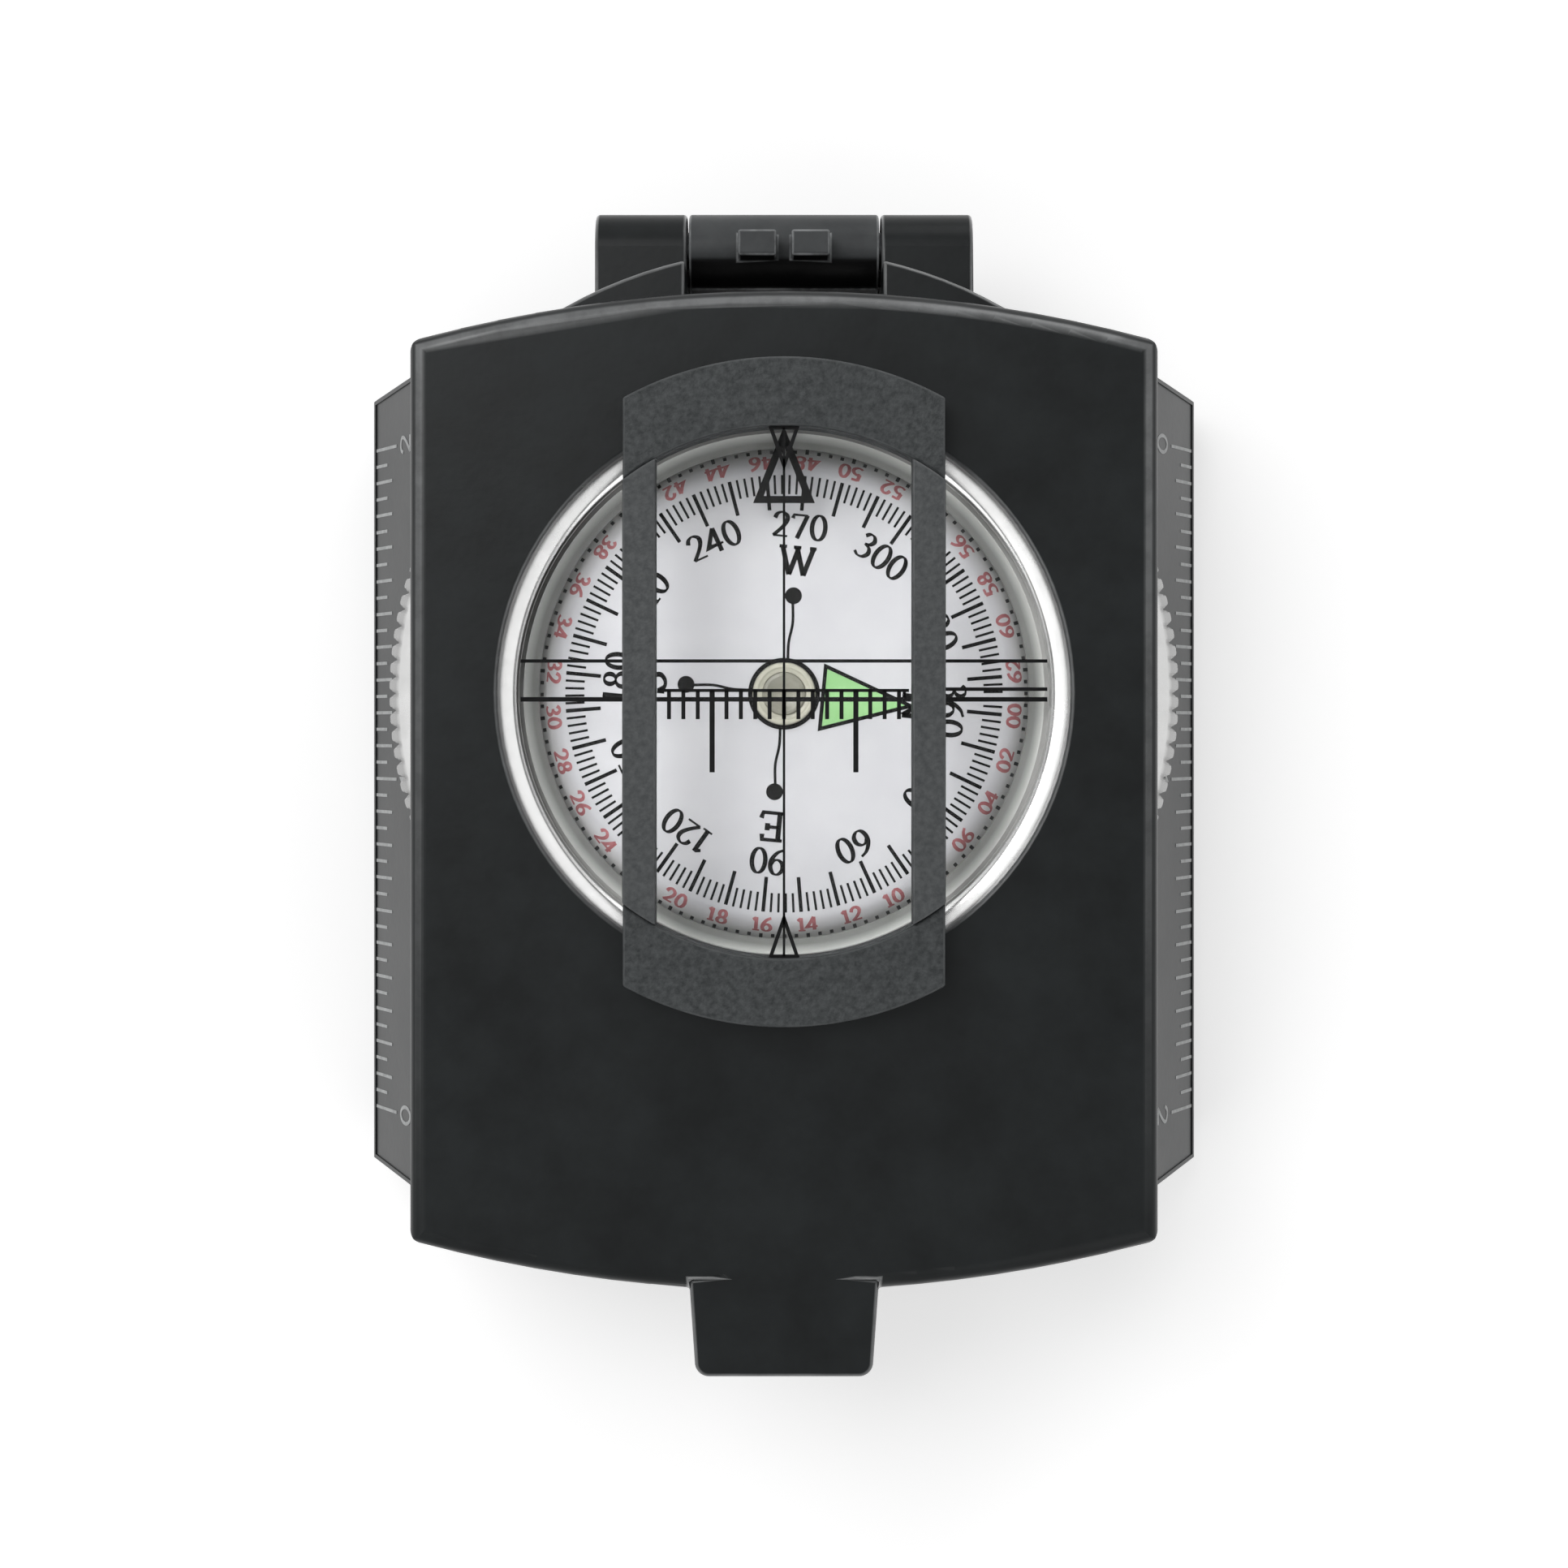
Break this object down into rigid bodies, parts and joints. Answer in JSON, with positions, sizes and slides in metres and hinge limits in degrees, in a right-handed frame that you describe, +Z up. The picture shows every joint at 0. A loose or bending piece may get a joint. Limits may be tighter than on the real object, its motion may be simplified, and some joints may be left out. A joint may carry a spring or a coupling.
{
  "type": "military sighting compass",
  "caption": "Pocket sighting compass: folding metal case with a windowed lid, sight frame, knurled bezel ring, floating dial, focusing eyepiece and thumb loop.",
  "frame": {"origin": "outer face of the bottom cover, on the dial's axis", "axes": "+X to the right, +Y towards the hinge, +Z up through the dial towards the lid"},
  "size_m": [0.0636, 0.0839, 0.0321],
  "materials": {
    "case_black": "satin black paint on cast alloy",
    "hinge_grey": "dark grey satin paint",
    "frame_grey": "finely textured grey paint",
    "loop_black": "satin black paint",
    "knob_black": "moulded black plastic with ridges",
    "steel": "plain turned steel",
    "dark_steel": "blackened steel",
    "magnet_steel": "plain ground magnet steel",
    "brass": "turned brass",
    "bright_alloy": "bright turned alloy, knurled",
    "clear_glass": "clear, flat and polished",
    "capsule_grey": "pale grey clear plastic",
    "rubber": "black gasket rubber",
    "card_white": "printed pale card",
    "jewel_ivory": "polished ivory-coloured cup"
  },
  "bodies": {
    "base": {"base_body": "case_black", "bottom_cover": "case_black", "cover_screws": "steel", "tripod_bush": "brass", "hinge_block": "hinge_grey", "block_screws": "steel", "hinge_pin": "dark_steel", "capsule_cup": "capsule_grey", "pivot_post": "brass", "capsule_gasket": "rubber", "crystal": "clear_glass", "bezel_clip": "steel", "eyepiece_tube": "hinge_grey", "loop_pins": "dark_steel"},
    "lid": {"lid_shell": "case_black", "sight_frame": "frame_grey", "sight_glass": "clear_glass", "sight_rails": "frame_grey", "sight_screws": "steel"},
    "dial": {"dial_card": "card_white", "dial_magnet": "magnet_steel", "dial_jewel": "jewel_ivory"},
    "bezel": {"bezel_ring": "bright_alloy", "bezel_glass": "clear_glass", "bezel_glass_ring": "bright_alloy"},
    "focus": {"focus_ring": "knob_black"},
    "barrel": {"lens_barrel": "hinge_grey", "eyepiece_lens": "clear_glass"},
    "loop": {"thumb_loop": "loop_black"}
  },
  "joints": [
    {"name": "lid_hinge", "type": "hinge", "parent": "base", "child": "lid", "pos_m": [0, 0.0329, 0.0139], "axis": [-1, 0, 0], "range_deg": [0, 150]},
    {"name": "dial_spin", "type": "hinge", "parent": "base", "child": "dial", "pos_m": [0, 0, 0.0159], "axis": [0, 0, 1], "continuous": true},
    {"name": "bezel_turn", "type": "hinge", "parent": "base", "child": "bezel", "pos_m": [0, 0, 0.017], "axis": [0, 0, 1], "continuous": true},
    {"name": "focus_turn", "type": "hinge", "parent": "base", "child": "focus", "pos_m": [0, -0.045, 0.0097], "axis": [0, -1, 0], "range_deg": [-120, 120]},
    {"name": "barrel_slide", "type": "slide", "parent": "base", "child": "barrel", "axis": [0, -1, 0], "range_m": [-0.0006, 0.0006]},
    {"name": "loop_fold", "type": "hinge", "parent": "base", "child": "loop", "pos_m": [0, 0.0324, 0.0047], "axis": [1, 0, 0], "range_deg": [-2, 90]}
  ],
  "couplings": [
    {"joint": "focus_turn", "follows": "barrel_slide", "rad_per_m": 3490}
  ]
}
